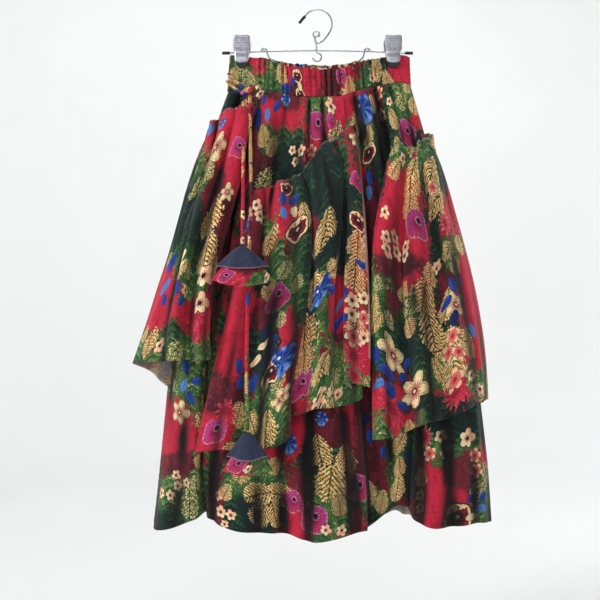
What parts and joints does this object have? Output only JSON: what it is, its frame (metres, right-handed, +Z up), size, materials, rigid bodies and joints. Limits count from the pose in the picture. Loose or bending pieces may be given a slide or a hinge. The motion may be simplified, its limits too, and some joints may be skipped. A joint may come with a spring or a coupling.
{
  "type": "tiered ruffle skirt on a clip hanger",
  "caption": "Floral ruffle skirt with an elastic waistband, diagonal tiers and tasselled ties, clipped to a metal skirt hanger.",
  "frame": {"origin": "inside top of the hanger's hook, where a rail or a peg carries it", "axes": "+Z up, the skirt hangs along -Z, its front faces -Y, its left side as seen from the front is -X"},
  "size_m": [0.6524, 0.2258, 0.95],
  "materials": {
    "body_print": "matte printed rayon",
    "ruffle_print": "matte printed rayon",
    "waistband_print": "matte printed rayon, gathered on elastic",
    "tie_print": "matte printed rayon cord",
    "navy_lining": "matte plain weave",
    "label_tape": "plain white tape",
    "hanger_wire": "polished",
    "spring_wire": "bright",
    "black_rubber": "matte"
  },
  "bodies": {
    "root": {"waistband": "waistband_print", "body_front": "body_print", "body_back": "body_print", "ruffle_left": "ruffle_print", "ruffle_centre": "ruffle_print", "ruffle_right": "ruffle_print", "label": "label_tape", "tie_upper": "tie_print", "tie_lower": "tie_print", "tie_knot": "tie_print", "cord_short": "tie_print", "cord_long": "tie_print", "tassel_upper_lining": "navy_lining", "tassel_upper_cloth": "ruffle_print", "tassel_lower_lining": "navy_lining", "tassel_lower_cloth": "ruffle_print", "hanger_bar": "hanger_wire", "hanger_hook": "hanger_wire", "neck_link": "hanger_wire", "hanger_brace": "hanger_wire", "hook_tip": "black_rubber", "bar_cap_left": "black_rubber", "bar_cap_right": "black_rubber", "clip_left_front": "hanger_wire", "clip_left_back": "hanger_wire", "clip_left_pad_front": "black_rubber", "clip_left_pad_back": "black_rubber", "clip_left_spring_left": "spring_wire", "clip_left_spring_right": "spring_wire", "clip_right_front": "hanger_wire", "clip_right_back": "hanger_wire", "clip_right_pad_front": "black_rubber", "clip_right_pad_back": "black_rubber", "clip_right_spring_left": "spring_wire", "clip_right_spring_right": "spring_wire"}
  },
  "joints": []
}
